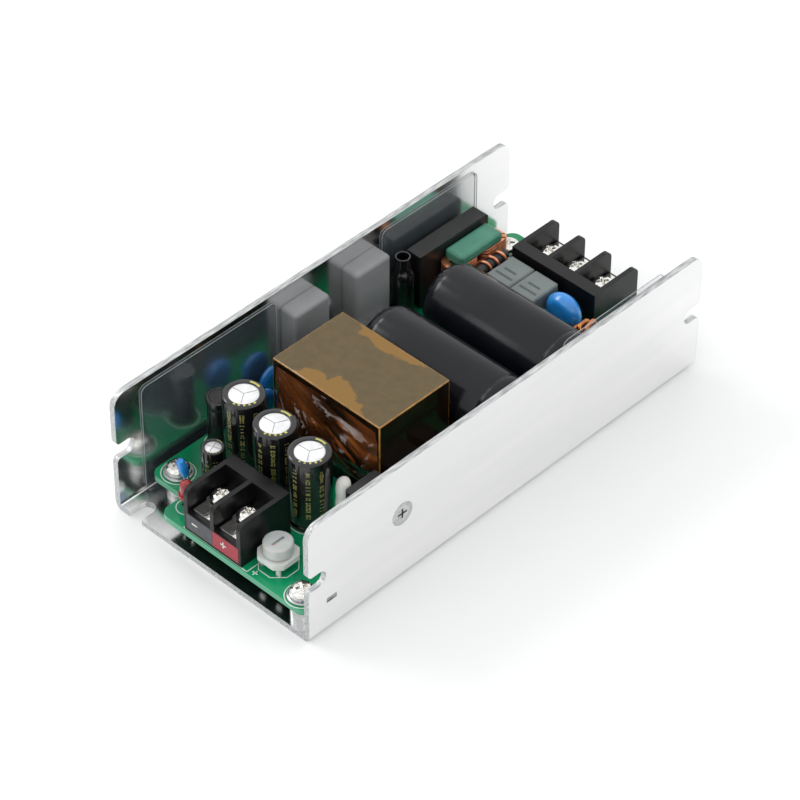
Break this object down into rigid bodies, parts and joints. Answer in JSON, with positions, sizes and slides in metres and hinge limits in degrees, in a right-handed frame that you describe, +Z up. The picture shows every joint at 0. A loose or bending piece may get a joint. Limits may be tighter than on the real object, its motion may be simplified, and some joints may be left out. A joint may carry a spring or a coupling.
{
  "type": "power supply module",
  "caption": "Open-frame power supply in a folded aluminium channel: a board with screw terminals, transformer, capacitors and chokes.",
  "frame": {"origin": "bottom centre of the folded channel, on the face that it rests on", "axes": "+X along the channel from the output terminals to the input terminals, +Y across it to the wall that carries the transistors, +Z up"},
  "size_m": [0.127, 0.0616, 0.0344],
  "materials": {
    "chassis_metal": "satin",
    "film": "smooth translucent",
    "board": "solder mask",
    "plated_steel": "nickel plated",
    "black_moulding": "moulded",
    "can_sleeve": "shrunk sleeve",
    "bulk_sleeve": "shrunk sleeve",
    "ferrite": "ground",
    "copper_winding": "enamelled wire",
    "amber_tape": "polyimide film",
    "grey_rubber": "moulded",
    "green_coating": "epoxy coat",
    "grey_box": "moulded",
    "blue_epoxy": "dipped",
    "red_lens": "clear moulded",
    "white_sealant": "cured sealant",
    "milky_knob": "moulded",
    "brown_resistor": "lacquered"
  },
  "bodies": {
    "module": {"chassis": "chassis_metal", "insulation_film": "film", "circuit_board": "board", "standoffs": "plated_steel", "board_screws": "plated_steel", "board_washers": "plated_steel", "output_terminal_block": "black_moulding", "output_terminal_strips": "plated_steel", "output_clamp_plates": "plated_steel", "output_terminal_screws": "plated_steel", "input_terminal_block": "black_moulding", "input_terminal_strips": "plated_steel", "input_clamp_plates": "plated_steel", "input_terminal_screws": "plated_steel", "output_capacitor_1": "can_sleeve", "output_capacitor_2": "can_sleeve", "output_capacitor_3": "can_sleeve", "small_capacitor": "can_sleeve", "transformer_core_lower": "ferrite", "transformer_core_upper": "ferrite", "transformer_bobbin": "black_moulding", "transformer_winding": "copper_winding", "transformer_tape": "amber_tape", "bulk_capacitor_1": "bulk_sleeve", "bulk_capacitor_2": "bulk_sleeve", "power_transistor_1": "black_moulding", "power_transistor_2": "black_moulding", "rubber_cap_1": "grey_rubber", "rubber_cap_2": "grey_rubber", "clamp_bar": "plated_steel", "bridge_rectifier": "black_moulding", "input_fuse": "black_moulding", "fuse_sleeve": "can_sleeve", "ring_choke_core": "green_coating", "ring_choke_windings": "copper_winding", "rod_choke_core": "ferrite", "rod_choke_winding": "copper_winding", "film_capacitor_1": "grey_box", "film_capacitor_2": "grey_box", "varistor": "blue_epoxy", "toroid_core": "ferrite", "toroid_winding": "copper_winding", "disc_capacitor_1": "blue_epoxy", "disc_capacitor_2": "blue_epoxy", "drum_choke": "can_sleeve", "bead_capacitor": "blue_epoxy", "status_led": "red_lens", "output_rectifier": "black_moulding", "wall_screws": "plated_steel", "rectifier_nut": "plated_steel", "silicone_bead": "white_sealant", "output_choke": "black_moulding", "trimmer_base": "milky_knob", "pwm_controller": "black_moulding", "optocoupler": "black_moulding", "load_resistor": "brown_resistor"},
    "trimmer": {"trimmer_rotor": "milky_knob"}
  },
  "joints": [
    {"name": "trimmer_turn", "type": "hinge", "parent": "module", "child": "trimmer", "pos_m": [-0.0561, -0.0139, 0.0115], "axis": [0, 0, 1], "range_deg": [-105, 105]}
  ]
}
